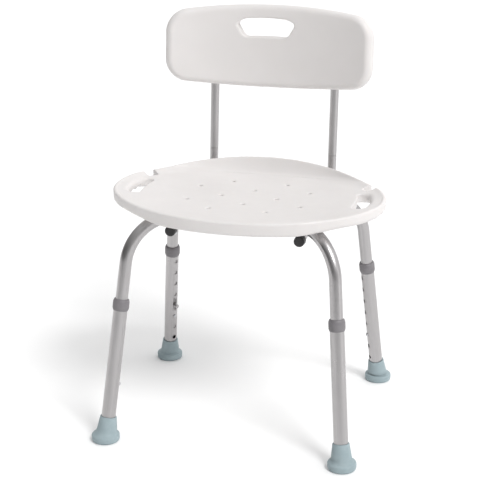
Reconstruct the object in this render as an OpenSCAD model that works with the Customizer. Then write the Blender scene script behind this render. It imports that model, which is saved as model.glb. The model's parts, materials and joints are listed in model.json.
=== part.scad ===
// Shower chair: an oval moulded seat and a moulded backrest on four splayed, height-adjustable legs.
// X runs to the sitter's left and right, +Y to the rear, +Z up. The origin is on the floor, mid-chair.

/* [Seat] */
// Width of the seat over its two handles
seat_w = 500; // [490:2:510]
// Depth of the seat from front edge to rear edge
seat_d = 346; // [340:2:352]
// Height of the middle of the seat above the floor
seat_h = 419; // [417:1:421]
// Thickness of the seat at its middle
seat_t = 17; // [16:1:18]
// Radius of the shallow dish in the top of the seat
dish_r = 2400; // [2000:100:3000]
// Height of the middle of the rear lip above the dish
lip_rise = 29; // [24:1:32]
// Wall thickness of the hollow moulded parts
skin = 3; // [2.5:0.1:3.5]
// Diameter of a drain hole
drain_d = 8; // [6:0.5:10]

/* [Handles] */
// Length of a handle slot
slot_len = 90; // [84:1:92]
// Distance from the middle of the seat to the inner edge of a handle slot
slot_in = 193; // [191:1:195]
// Width of the handle bar outside the slot
handle_w = 28; // [26:1:30]
// Width of the notch that holds the shower hose
notch_w = 22; // [20:1:24]
// Depth of the notch that holds the shower hose
notch_d = 22; // [18:1:24]

/* [Legs] */
// Half the distance between the left and right feet
foot_x = 217.5; // [215:0.5:220]
// Half the distance between the front and rear feet
foot_y = 195; // [193:0.5:197]
// Sideways lean of a leg, per unit of height
lean_x = 0.088; // [0.085:0.001:0.092]
// Fore and aft lean of a leg, per unit of height
lean_y = 0.164; // [0.16:0.001:0.168]
// Outer diameter of the crossed frame tubes
tube_d = 22.2; // [22:0.1:22.2]
// Outer diameter of the sliding leg tubes
leg_d = 25.4; // [25.4:0.1:26]
// Distance between two adjustment holes
hole_pitch = 25.4; // [25:0.1:25.8]
// Centre-line radius of the bends in the frame tubes
bend_r = 90; // [86:1:91]
// Radius of the rubber tip where it meets the floor
tip_r = 25.5; // [24:0.5:27]

/* [Backrest] */
// Half the distance between the two back posts
post_x = 116.8; // [115:0.1:118]
// Outer diameter of the back posts
post_d = 16; // [15.8:0.1:16.2]
// Backward lean of the posts and panel, in degrees
back_lean = 4.8; // [4:0.1:5.5]
// Half the width of the backrest panel
panel_half_w = 195; // [188:1:198]
// Height of the middle of the panel above the floor
panel_z = 663; // [655:1:680]
// Thickness of the panel
panel_t = 26; // [24:1:27]
// Radius of the panel's curve, seen from above
panel_r = 480; // [440:10:600]

/* [Hidden] */
$fn = 64;
far = 400;

// colours
white = "#edecea";
metal = "#c6c8cb";
collar_grey = "#77747a";
tip_grey = "#8fa4a9";
cap_black = "#2d2b2e";
steel = "#9a9da2";
brass = "#c8a860";

// signs of the four corners: x is right, y is rear
FL = [-1, -1];
FR = [1, -1];
RL = [-1, 1];
RR = [1, 1];

// seat levels
seat_bottom = seat_h - seat_t;
seat_y = -6;
oval_points = 96;
dish_reach = 280;
dish_steps = 10;
rim_side_h = 34;
lip_depth = 27;
lip_end_depth = 6;
lip_steps = 4;
lip_turn = 9.5;
bed_half = 190;
drain_px = 51.9;
drain_py = 43.65;
slot_y = 5;
slot_corner = 12;
slot_w = 60;
notch_corner = 8;
grip_r = 11;
grip_pitch = 20;
grip_count = 4;
insert_pocket_r = 4.6;
nut_pocket_r = 5.9;
nut_pocket_h = 14.2;

// frame levels: the crossed tubes lie half sunk in the underside of the seat
run_z = seat_bottom - 2;
play = 0.25;
lean_n = sqrt(1 + lean_x * lean_x + lean_y * lean_y);
leg_tilt = acos(1 / lean_n);
corner_x = foot_x - lean_x * run_z;
corner_y = foot_y - lean_y * run_z;
run_az = atan2(corner_y, corner_x);
turn = acos((lean_x * cos(run_az) + lean_y * sin(run_az)) / lean_n);
bend_back = bend_r * tan(turn / 2);
bend_at = run_z * lean_n - bend_back;
run_len = norm([corner_x, corner_y]) - bend_back;
tube_wall = 1.6;
bend_thin = 0.2;
lap = 2;
flat_w = 30;
flat_t = 10.8;
flat_half = 26;
flat_blend = 50;
flat_gap = 0.2;

// heights along a leg, measured on its own axis from the floor
button_at = 106.4;
hole_count = 8;
button_hole = 5;
tube_end = 64;
leg_end = 11;
leg_top = 262;
collar_low = 240.8;
collar_top = 267.8;
collar_bevel = 6;
collar_r = 14.8;
leg_bore_r = tube_d / 2 + 0.05;
button_r = 3.7;
button_hole_r = 4.1;
button_out = 15.7;
tip_h = 45;
tip_ring_h = 9;
tip_shoulder_h = 17;
tip_shoulder_r = 18.3;
tip_top_r = 14.6;

// backrest frame
back_tube_r = post_d / 2;
spacer_min = 2.4;
back_run_z = run_z - tube_d / 2 - spacer_min - back_tube_r;
back_front = -106;
back_bend_r = 40;
post_y = 190;
post_ref_z = 500;
post_joint_z = 457;
post_slope = tan(back_lean);
back_bend_end_z = back_run_z + back_bend_r * (1 - sin(back_lean));
back_bend_end_y = post_y + post_slope * (back_bend_end_z - post_ref_z);
back_bend_y = back_bend_end_y - back_bend_r * cos(back_lean);
bolt_y = post_x * tan(run_az);
bolt_r = 3;
bolt_clear_r = 3.2;
washer_t = 1.3;
face_gap = 0.1;
spigot_r = 6.5;
spigot_len = 40;
post_bore_r = 5.2;
back_button_drop = 22;
back_button_r = 2.4;
back_hole_r = 2.7;

// backrest panel, in a frame that leans with the posts
panel_y = 178;
panel_top = 77;
panel_low = -77;
panel_arch = 17;
panel_bow = 11;
panel_corner = 38;
panel_post_y = (post_y + post_slope * (panel_z - post_ref_z) - panel_y) * cos(back_lean);
post_top = 36;
boss_w = 34;
boss_low = -62;
boss_top = 42;
screw_low = -40;
screw_high = 14;
screw_r = 2.5;
hand_x = -11;
hand_z = 36;
panel_cut = 60;

// ---------- shared shapes ----------

function ellipse_points(a, b, n) = [for (i = [0:n - 1]) [a * cos(360 * i / n), b * sin(360 * i / n)]];

function dish_z(r) = seat_h + r * r / (2 * dish_r);

module oval_outline(inset) {
    translate([0, seat_y])
        polygon(ellipse_points(seat_w / 2 - inset, seat_d / 2 - inset, oval_points));
}

module oval(inset, low, high) {
    translate([0, 0, low])
        linear_extrude(height = high - low)
            oval_outline(inset);
}

// everything above the dished top, lowered by drop
module above_dish(drop) {
    radii = [for (i = [0:dish_steps]) dish_reach * i / dish_steps];
    high = seat_h + 100;
    translate([0, 0, -drop])
        rotate_extrude($fn = 128)
            polygon(concat([for (r = radii) [r, dish_z(r)]], [[dish_reach, high], [0, high]]));
}

module rounded_rect(w, d, r) {
    square([w - 2 * r, d], center = true);
    square([w, d - 2 * r], center = true);
    for (x = [-1, 1], y = [-1, 1])
        translate([x * (w / 2 - r), y * (d / 2 - r)])
            circle(r = r);
}

// a leg's own frame: Z up the leg, X towards the middle of the chair
module at_leg(c) {
    az = atan2(-c.y * lean_y, -c.x * lean_x);
    side = [cos(leg_tilt) * cos(az), cos(leg_tilt) * sin(az), -sin(leg_tilt)];
    cross_side = [-sin(az), cos(az), 0];
    inward = [-c.x * cos(run_az), -c.y * sin(run_az), 0];
    translate([c.x * foot_x, c.y * foot_y, 0])
        rotate([0, leg_tilt, az])
            rotate([0, 0, atan2(inward * cross_side, inward * side)])
                children();
}

// half of a crossed tube, slightly thinner round its bend,
// from a leg's lower end to a point near the middle of the chair
module half_run(d, low, stop) {
    translate([0, 0, low])
        cylinder(d = d, h = bend_at + lap - low);
    translate([bend_r, 0, bend_at])
        rotate([90, 0, 0])
            rotate([0, 0, 180 - turn])
                rotate_extrude(angle = turn, $fn = 128)
                    translate([bend_r, 0])
                        circle(d = d - bend_thin);
    translate([bend_r * (1 - cos(turn)), 0, bend_at + bend_r * sin(turn)])
        rotate([0, turn, 0])
            translate([0, 0, -lap])
                cylinder(d = d, h = run_len + lap - stop);
}

// the stretch where a tube is pressed flat so that the two can cross
module pressed_flat(lift) {
    low = lift - flat_t / 2;
    high = lift + flat_t / 2;
    end = flat_blend + lap;
    start = flat_half - 1;
    taper = 1.5;
    translate([0, 0, lift])
        cube([2 * flat_half, flat_w, flat_t], center = true);
    for (s = [0, 1])
        mirror([s, 0, 0]) {
            intersection() {
                translate([start, 0, 0])
                    rotate([0, 90, 0])
                        cylinder(d = tube_d - bend_thin, h = end - start);
                rotate([90, 0, 0])
                    linear_extrude(height = 2 * flat_w, center = true)
                        polygon([[0, low], [flat_half, low], [end, -tube_d],
                            [end, tube_d], [flat_half, high], [0, high]]);
            }
            intersection() {
                linear_extrude(height = 2 * flat_w, center = true)
                    polygon([[start, -flat_w / 2], [end, -flat_w / 4],
                        [end, flat_w / 4], [start, flat_w / 2]]);
                rotate([90, 0, 0])
                    linear_extrude(height = 2 * flat_w, center = true)
                        polygon([[start, low], [end, lift - taper],
                            [end, lift + taper], [start, high]]);
            }
        }
}

// a tube of diameter d along the route of the L-shaped back tubes
module back_run(side, d, low_y) {
    translate([side * post_x, low_y, back_run_z])
        rotate([-90, 0, 0])
            cylinder(d = d, h = back_bend_y + lap - low_y);
    translate([side * post_x, back_bend_y, back_run_z + back_bend_r])
        rotate([90, 0, 90])
            rotate([0, 0, -90])
                rotate_extrude(angle = 90 - back_lean, $fn = 128)
                    translate([back_bend_r, 0])
                        circle(d = d - bend_thin);
}

// a post's own frame at height z: Z up the post, Y to the rear
module at_post(side, z) {
    translate([side * post_x, post_y + post_slope * (z - post_ref_z), z])
        rotate([-back_lean, 0, 0])
            children();
}

module at_panel() {
    translate([0, panel_y, panel_z])
        rotate([-back_lean, 0, 0])
            children();
}

module at_frame_bolts() {
    for (x = [-1, 1], y = [-1, 1])
        translate([x * post_x, y * bolt_y, 0])
            children();
}

module drain_pattern(grow) {
    for (row = [-2:2])
        for (col = (row % 2 == 0) ? [-1, 1] : [-2, 0, 2])
            translate([col * drain_px, row * drain_py])
                circle(r = drain_d / 2 + grow);
}

// ---------- seat ----------

module handle_slot(grow) {
    intersection() {
        oval_outline(handle_w - grow);
        translate([slot_in + slot_w / 2, seat_y + slot_y])
            rounded_rect(slot_w + 2 * grow, slot_len + 2 * grow, slot_corner);
    }
}

// the notch opens outwards through the rim, so its rounded box starts outside it
module hose_notch(grow) {
    rim_point = [218.5, 79];
    notch_dir = 39;
    outside = 10;
    translate(rim_point)
        rotate(notch_dir)
            translate([outside, 0])
                rounded_rect(2 * (notch_d + outside) + 2 * grow, notch_w + 2 * grow, notch_corner);
}

module both_sides() {
    children();
    mirror([1, 0, 0])
        children();
}

// the beds in the seat's underside for the crossed tubes
module tube_beds(grow) {
    spread = 2 * (play + grow);
    for (az = [-run_az, run_az])
        translate([0, 0, run_z])
            rotate([0, 0, az]) {
                rotate([0, 90, 0])
                    cylinder(d = tube_d + spread, h = 2 * (bed_half + grow), center = true);
                cube([2 * (flat_blend + grow), flat_w + spread, tube_d + 2 * grow], center = true);
            }
}

// the raised rear rim: flat flares that follow the back of the oval, lower towards its ends
module rear_lip() {
    slope = lip_rise / lip_depth;
    for (i = [-lip_steps:lip_steps]) {
        a = i * lip_turn;
        rim = norm([seat_w / 2 * sin(a), seat_d / 2 * cos(a)]);
        depth = lip_depth - (lip_depth - lip_end_depth) * pow(abs(i) / lip_steps, 1.5);
        low = dish_z(rim - depth + seat_y);
        translate([0, seat_y, 0])
            rotate([0, 0, -a])
                translate([-seat_d, rim - depth, 0])
                    rotate([90, 0, 90])
                        linear_extrude(height = 2 * seat_d)
                            polygon([[0, seat_bottom], [2 * depth, seat_bottom],
                                [2 * depth, low + 2 * depth * slope], [0, low]]);
    }
}

module seat_outside() {
    difference() {
        oval(0, seat_bottom, seat_h + rim_side_h / 2);
        above_dish(0);
    }
    intersection() {
        oval(0, seat_bottom, seat_h + 60);
        rear_lip();
    }
}

// the hollow inside the moulding, kept clear of every opening and fixing
module seat_hollow() {
    difference() {
        oval(skin, seat_bottom + skin, seat_h + rim_side_h / 2);
        above_dish(skin);
        tube_beds(skin);
        translate([0, 0, seat_bottom])
            linear_extrude(height = far) {
                drain_pattern(skin);
                both_sides() {
                    handle_slot(skin);
                    hose_notch(skin);
                    translate([slot_in + slot_w / 2, -seat_d / 2])
                        square([slot_w, seat_d]);
                }
            }
        at_frame_bolts()
            translate([0, 0, seat_bottom])
                cylinder(r = 2 * insert_pocket_r, h = far);
        translate([0, 0, seat_bottom])
            cylinder(r = flat_half, h = far);
    }
}

// rounded grooves for the fingers under each handle bar
module finger_grips() {
    mid = (grip_count - 1) / 2;
    for (s = [-1, 1], i = [0:grip_count - 1])
        translate([s * (seat_w / 2 + 8), seat_y + slot_y + (i - mid) * grip_pitch, seat_bottom - 7])
            rotate([0, -90 * s, 0])
                cylinder(r = grip_r, h = handle_w + 14);
}

module seat_pan() {
    color(white)
        difference() {
            seat_outside();
            seat_hollow();
            tube_beds(0);
            translate([0, 0, seat_bottom - 1])
                linear_extrude(height = far) {
                    drain_pattern(0);
                    both_sides() {
                        handle_slot(0);
                        hose_notch(0);
                    }
                }
            finger_grips();
            at_frame_bolts()
                translate([0, 0, seat_bottom])
                    cylinder(r = insert_pocket_r, h = seat_t + 1.2);
            translate([0, 0, seat_bottom])
                cylinder(r = nut_pocket_r, h = nut_pocket_h, $fn = 6);
        }
}

// ---------- crossed frame tubes ----------

module cross_tube(first, second, az, lift) {
    flat_inside = [2 * (flat_half - tube_wall), flat_w - 2 * tube_wall, flat_t - 2 * tube_wall];
    color(metal)
        difference() {
            union() {
                for (c = [first, second])
                    at_leg(c)
                        half_run(tube_d, tube_end, flat_blend);
                translate([0, 0, run_z])
                    rotate([0, 0, az])
                        pressed_flat(lift);
            }
            for (c = [first, second])
                at_leg(c)
                    half_run(tube_d - 2 * tube_wall, tube_end - 1, flat_blend);
            translate([0, 0, run_z + lift])
                rotate([0, 0, az])
                    cube(flat_inside, center = true);
            for (c = [first, second])
                at_leg(c)
                    translate([0, 0, button_at])
                        rotate([0, 90, 0])
                            cylinder(r = button_hole_r, h = tube_d);
            for (c = [first, second])
                translate([c.x * post_x, c.y * bolt_y, run_z - tube_d])
                    cylinder(r = bolt_clear_r, h = 2 * tube_d);
            translate([0, 0, run_z - tube_d])
                cylinder(r = bolt_clear_r, h = 2 * tube_d);
        }
}

module cross_tube_a() {
    cross_tube(FL, RR, run_az, (flat_t + flat_gap) / 2);
}

module cross_tube_b() {
    cross_tube(FR, RL, -run_az, -(flat_t + flat_gap) / 2);
}

// ---------- back tubes, posts and caps ----------

module back_tube(side) {
    upper_len = (post_joint_z - back_bend_end_z) / cos(back_lean);
    color(metal)
        difference() {
            union() {
                back_run(side, post_d, back_front);
                at_post(side, back_bend_end_z)
                    translate([0, 0, -lap])
                        cylinder(d = post_d, h = upper_len + lap);
            }
            back_run(side, 2 * spigot_r + 0.1, back_front - 1);
            at_post(side, back_bend_end_z)
                translate([0, 0, -lap])
                    cylinder(r = spigot_r + 0.05, h = upper_len + 1 + lap);
            at_post(side, post_joint_z)
                translate([0, 0, -back_button_drop])
                    rotate([-90, 0, 0])
                        cylinder(r = back_hole_r, h = post_d);
            for (y = [-1, 1])
                translate([side * post_x, y * bolt_y, back_run_z - post_d])
                    cylinder(r = bolt_clear_r, h = 2 * post_d);
        }
}

module back_post(side) {
    to_panel = (panel_z - post_joint_z) / cos(back_lean) - panel_post_y * tan(back_lean);
    length = to_panel + post_top - face_gap;
    color(metal)
        difference() {
            union() {
                at_post(side, post_joint_z)
                    translate([0, 0, face_gap])
                        cylinder(d = post_d, h = length);
                at_post(side, post_joint_z)
                    translate([0, 0, -spigot_len])
                        cylinder(r = spigot_r, h = spigot_len + 1);
            }
            at_post(side, post_joint_z)
                translate([0, 0, -spigot_len - 1])
                    cylinder(r = post_bore_r, h = spigot_len + length + 2);
            at_post(side, post_joint_z)
                translate([0, 0, -back_button_drop])
                    rotate([-90, 0, 0])
                        cylinder(r = back_hole_r, h = post_d);
            at_panel()
                for (z = [screw_low, screw_high])
                    translate([side * post_x, panel_post_y - post_d, z])
                        rotate([-90, 0, 0])
                            cylinder(r = 2.7, h = 2 * post_d);
        }
}

module post_plugs() {
    color(cap_black)
        at_panel()
            for (side = [-1, 1])
                translate([side * post_x, panel_post_y, post_top]) {
                    translate([0, 0, -12])
                        cylinder(r = post_bore_r - 0.05, h = 12.2);
                    translate([0, 0, 0.2])
                        cylinder(d = post_d, h = 2.2);
                }
}

module tube_cap(side) {
    cap_r = 9.6;
    cap_len = 17;
    color(cap_black)
        translate([side * post_x, back_front - 2.8, back_run_z])
            rotate([-90, 0, 0])
                difference() {
                    union() {
                        cylinder(r1 = cap_r - 1, r2 = cap_r, h = 1);
                        translate([0, 0, 1])
                            cylinder(r = cap_r, h = cap_len - 1);
                    }
                    translate([0, 0, 2.75])
                        cylinder(r = back_tube_r + 0.05, h = cap_len);
                }
}

// ---------- fixings under the seat ----------

module saddle_spacers() {
    spacer_start = 3;
    color(cap_black)
        difference() {
            at_frame_bolts()
                translate([0, 0, back_run_z])
                    cylinder(r = 7, h = run_z - back_run_z);
            for (side = [-1, 1])
                translate([side * post_x, 0, back_run_z])
                    rotate([90, 0, 0])
                        cylinder(d = post_d + 0.1, h = seat_d, center = true);
            for (az = [-run_az, run_az])
                translate([0, 0, run_z])
                    rotate([0, 90, az])
                        cylinder(d = tube_d + 0.1, h = seat_w, center = true);
            at_frame_bolts()
                translate([0, 0, back_run_z])
                    cylinder(r = bolt_clear_r, h = 60);
            translate([-far / 2, -far / 2, back_run_z + spacer_start - far])
                cube(far);
        }
}

module frame_bolts() {
    head_z = back_run_z - back_tube_r - washer_t - 2 * face_gap;
    color(steel)
        at_frame_bolts()
            translate([0, 0, head_z])
                difference() {
                    union() {
                        translate([0, 0, -3.6])
                            cylinder(r1 = 3.4, r2 = 5.2, h = 1.6);
                        translate([0, 0, -2])
                            cylinder(r = 5.2, h = 2);
                        cylinder(r = bolt_r, h = seat_bottom + seat_t + 0.6 - head_z);
                    }
                    translate([0, 0, -3.7])
                        cylinder(r = 2.3, h = 2.4, $fn = 6);
                }
}

module frame_washers() {
    color(steel)
        at_frame_bolts()
            translate([0, 0, back_run_z - back_tube_r - washer_t - face_gap])
                difference() {
                    cylinder(r = 7, h = washer_t);
                    translate([0, 0, -1])
                        cylinder(r = bolt_clear_r, h = 4);
                }
}

module seat_inserts() {
    color(brass)
        at_frame_bolts()
            translate([0, 0, run_z + tube_d / 2 + 0.6])
                difference() {
                    cylinder(r = insert_pocket_r - 0.05, h = 7.5);
                    translate([0, 0, -1])
                        cylinder(r = bolt_r + 0.02, h = 10);
                }
}

module centre_bolt() {
    head_z = run_z - flat_t - 0.4;
    color(steel)
        translate([0, 0, head_z])
            difference() {
                union() {
                    translate([0, 0, -4])
                        cylinder(r = 8.5, h = 4);
                    cylinder(r = bolt_r, h = seat_bottom + 14 - head_z);
                }
                translate([0, 0, -4.1])
                    cylinder(r = 2.9, h = 2.6, $fn = 6);
            }
}

module centre_nut() {
    color(steel)
        translate([0, 0, run_z + flat_t + 0.3])
            difference() {
                cylinder(r = 5.75, h = 4.8, $fn = 6);
                translate([0, 0, -1])
                    cylinder(r = bolt_r + 0.02, h = 8);
            }
}

// ---------- sliding legs ----------

module leg_tube(c) {
    color(metal)
        at_leg(c)
            difference() {
                translate([0, 0, leg_end])
                    cylinder(d = leg_d, h = leg_top - leg_end);
                translate([0, 0, leg_end - 1])
                    cylinder(r = leg_bore_r, h = leg_top);
                for (i = [0:hole_count - 1])
                    translate([0, 0, button_at + (button_hole - i) * hole_pitch])
                        rotate([0, 90, 0])
                            cylinder(r = button_hole_r, h = leg_d);
            }
}

module leg_collar(c) {
    end_r = leg_d / 2 + 0.6;
    color(collar_grey)
        at_leg(c)
            difference() {
                union() {
                    translate([0, 0, collar_low])
                        cylinder(r1 = end_r, r2 = collar_r, h = collar_bevel);
                    translate([0, 0, collar_low + collar_bevel])
                        cylinder(r = collar_r, h = collar_top - collar_low - 2 * collar_bevel);
                    translate([0, 0, collar_top - collar_bevel])
                        cylinder(r1 = collar_r, r2 = end_r, h = collar_bevel);
                }
                translate([0, 0, collar_low - 1])
                    cylinder(r = leg_d / 2 + 0.03, h = leg_top + 0.05 - collar_low + 1);
                translate([0, 0, collar_low])
                    cylinder(r = tube_d / 2 + 0.08, h = 60);
            }
}

module rubber_tip(c) {
    ring_bevel = 3;
    slope_z = tip_ring_h + ring_bevel;
    color(tip_grey)
        difference() {
            union() {
                translate([c.x * foot_x, c.y * foot_y, 0]) {
                    cylinder(r = tip_r, h = tip_ring_h);
                    translate([0, 0, tip_ring_h])
                        cylinder(r1 = tip_r, r2 = tip_r - 2, h = ring_bevel);
                    translate([0, 0, slope_z])
                        cylinder(r1 = tip_r - 2, r2 = tip_shoulder_r + 1, h = tip_shoulder_h - slope_z);
                }
                at_leg(c)
                    translate([0, 0, tip_shoulder_h - 4])
                        cylinder(r1 = tip_shoulder_r, r2 = tip_top_r, h = tip_h + 4 - tip_shoulder_h);
            }
            at_leg(c)
                translate([0, 0, leg_end - 2.2])
                    cylinder(r = leg_d / 2 + 0.03, h = tip_h);
            translate([c.x * foot_x, c.y * foot_y, -1])
                cylinder(r = 15, h = 3);
        }
}

module tip_washer(c) {
    color(steel)
        at_leg(c)
            translate([0, 0, leg_end - 2.1])
                cylinder(r = leg_d / 2 - 0.2, h = 2);
}

// ---------- snap buttons and their springs ----------

// a domed pin along X with a flange at its inner end
module snap_button(pin_r, flange_r, flange_x, shoulder_x, tip_x) {
    dome_h = tip_x - shoulder_x;
    dome_r = (pin_r * pin_r + dome_h * dome_h) / (2 * dome_h);
    rotate([0, 90, 0]) {
        translate([0, 0, flange_x])
            cylinder(r = flange_r, h = 1);
        translate([0, 0, flange_x])
            cylinder(r = pin_r, h = shoulder_x - flange_x);
        intersection() {
            translate([0, 0, tip_x - dome_r])
                sphere(r = dome_r);
            translate([0, 0, shoulder_x - 0.5])
                cylinder(r = pin_r, h = dome_h + 1);
        }
    }
}

// a hairpin strip: one leg behind the button, the other against the far wall
module hairpin(near_x, far_x, strip_t, strip_w, reach) {
    mid_x = (near_x + far_x) / 2;
    loop_r = (near_x - far_x) / 2;
    for (x = [near_x - strip_t, far_x])
        translate([x, -strip_w / 2, -reach])
            cube([strip_t, strip_w, reach + 5]);
    translate([mid_x, 0, -reach])
        rotate([90, 0, 0])
            difference() {
                cylinder(r = loop_r, h = strip_w, center = true);
                cylinder(r = loop_r - strip_t, h = strip_w + 1, center = true);
                translate([-loop_r - 1, 0, -strip_w])
                    cube(2 * (loop_r + strip_w));
            }
}

module leg_button(c) {
    color(steel)
        at_leg(c)
            translate([0, 0, button_at])
                snap_button(button_r, 4.4, 7, 13.2, button_out);
}

module button_spring(c) {
    color(steel)
        at_leg(c)
            translate([0, 0, button_at])
                hairpin(6.9, -8.2, 0.8, 8, 28);
}

module back_button(side) {
    color(steel)
        at_post(side, post_joint_z)
            translate([0, 0, -back_button_drop])
                rotate([0, 0, 90])
                    snap_button(back_button_r, 3.1, 2.7, 8.2, 10);
}

module back_spring(side) {
    color(steel)
        at_post(side, post_joint_z)
            translate([0, 0, -back_button_drop])
                rotate([0, 0, 90])
                    hairpin(2.6, -4.3, 0.6, 4.4, 12);
}

// ---------- backrest ----------

function panel_drop(x) =
    let (e = max(0, (abs(x) - (panel_half_w - panel_corner)) / panel_corner))
    panel_corner * (1 - sqrt(max(0, 1 - e * e)));

function panel_edge(x, level, bend, dir) =
    level - dir * bend * x * x / (panel_half_w * panel_half_w) - dir * panel_drop(x);

module panel_outline() {
    xs = [for (a = [-90:6:90]) panel_half_w * sin(a)];
    n = len(xs) - 1;
    polygon(concat(
        [for (i = [0:n]) [xs[i], panel_edge(xs[i], panel_top, panel_arch, 1)]],
        [for (i = [1:n - 1]) [xs[n - i], panel_edge(xs[n - i], panel_low, panel_bow, -1)]]));
}

// the curved slab between two offsets from the middle surface
module panel_slab(front, rear) {
    translate([0, -panel_r, -110])
        difference() {
            cylinder(r = panel_r + rear, h = 220, $fn = 256);
            translate([0, 0, -1])
                cylinder(r = panel_r - front, h = 222, $fn = 256);
        }
}

// the right half of the hand hole's outline, from its lower edge round to its upper edge
function hand_hole_side(grow) = [[20, -18 - grow], [42 + grow, -19 - grow], [55 + grow, 3],
    [54 + grow, 8], [47 + grow, 14 + grow], [20, 16.5 + grow]];

module hand_hole(grow) {
    right = hand_hole_side(grow);
    left = [for (i = [len(right) - 1:-1:0]) [-right[i].x, right[i].y]];
    translate([hand_x, 0, hand_z])
        rotate([90, 0, 0])
            linear_extrude(height = 2 * panel_cut, center = true)
                polygon(concat(right, left));
}

module panel_body(inset) {
    intersection() {
        panel_slab(panel_t / 2 - inset, panel_t / 2 - inset);
        translate([0, panel_cut, 0])
            rotate([90, 0, 0])
                linear_extrude(height = 160)
                    scale((panel_half_w - 2 * inset) / panel_half_w)
                        panel_outline();
    }
}

module post_bosses() {
    root = 4;
    for (side = [-1, 1])
        translate([side * post_x - boss_w / 2, -root, boss_low])
            cube([boss_w, panel_post_y - 1 + root, boss_top - boss_low]);
}

module backrest_panel() {
    rib = 12;
    groove_low = boss_low - 40;
    pocket_y = -6;
    pocket_d = panel_post_y - back_tube_r - 2 * skin - pocket_y;
    // each pocket's lower end and height
    pockets = [[boss_low + 4, 12], [(screw_low + screw_high) / 2 - 20, 40], [screw_high + 7, 18]];
    color(white)
        at_panel()
            difference() {
                union() {
                    panel_body(0);
                    post_bosses();
                }
                difference() {
                    panel_body(skin);
                    hand_hole(rib);
                    for (side = [-1, 1])
                        translate([side * post_x - boss_w / 2, -panel_cut, boss_low])
                            cube([boss_w, 2 * panel_cut, boss_top - boss_low]);
                }
                hand_hole(0);
                for (side = [-1, 1]) {
                    translate([side * post_x, panel_post_y, groove_low])
                        cylinder(r = back_tube_r + 0.1, h = post_top + 2.6 - groove_low);
                    for (z = [screw_low, screw_high])
                        translate([side * post_x, -2, z])
                            rotate([-90, 0, 0])
                                cylinder(r = screw_r + 0.02, h = 40);
                    for (p = pockets)
                        translate([side * post_x - boss_w / 2 + skin, pocket_y, p[0]])
                            cube([boss_w - 2 * skin, pocket_d, p[1]]);
                }
            }
}

module backrest_screws() {
    color(steel)
        at_panel()
            for (side = [-1, 1], z = [screw_low, screw_high])
                translate([side * post_x, panel_post_y + back_tube_r + 0.2, z])
                    rotate([90, 0, 0])
                        difference() {
                            union() {
                                translate([0, 0, -2.6])
                                    cylinder(r1 = 3, r2 = 5, h = 1.6);
                                translate([0, 0, -1])
                                    cylinder(r = 5, h = 1);
                                cylinder(r = screw_r, h = 32);
                            }
                            translate([0, 0, -2.7])
                                cylinder(r = 1.5, h = 1.8, $fn = 6);
                        }
}

seat_pan();
backrest_panel();
cross_tube_a();
cross_tube_b();
back_tube(-1);  // back_tube_left
back_tube(1);  // back_tube_right
back_post(-1);  // back_post_left
back_post(1);  // back_post_right
post_plugs();
tube_cap(-1);  // tube_cap_left
tube_cap(1);  // tube_cap_right
backrest_screws();
saddle_spacers();
frame_bolts();
frame_washers();
seat_inserts();
centre_bolt();
centre_nut();
leg_tube(FL);  // leg_tube_fl
leg_tube(FR);  // leg_tube_fr
leg_tube(RL);  // leg_tube_rl
leg_tube(RR);  // leg_tube_rr
leg_collar(FL);  // leg_collar_fl
leg_collar(FR);  // leg_collar_fr
leg_collar(RL);  // leg_collar_rl
leg_collar(RR);  // leg_collar_rr
rubber_tip(FL);  // rubber_tip_fl
rubber_tip(FR);  // rubber_tip_fr
rubber_tip(RL);  // rubber_tip_rl
rubber_tip(RR);  // rubber_tip_rr
tip_washer(FL);  // tip_washer_fl
tip_washer(FR);  // tip_washer_fr
tip_washer(RL);  // tip_washer_rl
tip_washer(RR);  // tip_washer_rr
leg_button(FL);  // leg_button_fl
leg_button(FR);  // leg_button_fr
leg_button(RL);  // leg_button_rl
leg_button(RR);  // leg_button_rr
button_spring(FL);  // button_spring_fl
button_spring(FR);  // button_spring_fr
button_spring(RL);  // button_spring_rl
button_spring(RR);  // button_spring_rr
back_button(-1);  // back_button_left
back_button(1);  // back_button_right
back_spring(-1);  // back_spring_left
back_spring(1);  // back_spring_right
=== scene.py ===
import json
from math import acos, atan2, cos, hypot, pi, radians, sin, sqrt, tan

import bmesh
import bpy
import numpy as np
from mathutils import Matrix, Vector


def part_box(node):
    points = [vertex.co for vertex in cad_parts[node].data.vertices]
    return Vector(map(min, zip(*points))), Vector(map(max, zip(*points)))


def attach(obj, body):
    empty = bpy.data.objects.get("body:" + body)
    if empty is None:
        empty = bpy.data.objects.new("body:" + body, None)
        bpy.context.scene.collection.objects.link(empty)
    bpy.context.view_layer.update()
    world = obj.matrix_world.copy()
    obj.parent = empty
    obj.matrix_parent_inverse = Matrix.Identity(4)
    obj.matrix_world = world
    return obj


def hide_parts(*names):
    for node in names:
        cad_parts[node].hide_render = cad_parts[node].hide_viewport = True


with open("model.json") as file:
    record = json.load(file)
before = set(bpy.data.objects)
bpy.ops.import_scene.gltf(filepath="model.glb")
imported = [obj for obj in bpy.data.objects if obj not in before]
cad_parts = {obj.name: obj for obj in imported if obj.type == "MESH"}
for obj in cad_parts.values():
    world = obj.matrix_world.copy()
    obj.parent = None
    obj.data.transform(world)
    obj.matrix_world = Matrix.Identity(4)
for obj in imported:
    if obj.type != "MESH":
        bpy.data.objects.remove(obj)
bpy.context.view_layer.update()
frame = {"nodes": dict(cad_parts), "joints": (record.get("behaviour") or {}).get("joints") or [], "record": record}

# Lengths are in millimetres until a mesh is made, and MM turns them into metres.
MM = 0.001
CORNERS = {"fl": (-1, -1), "fr": (1, -1), "rl": (-1, 1), "rr": (1, 1)}
SIDES = {"left": -1, "right": 1}


def node_box(node):
    low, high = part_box(node)
    return np.array(low) / MM, np.array(high) / MM


# ---------- sizes, from the frame wherever it holds them ----------

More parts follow.
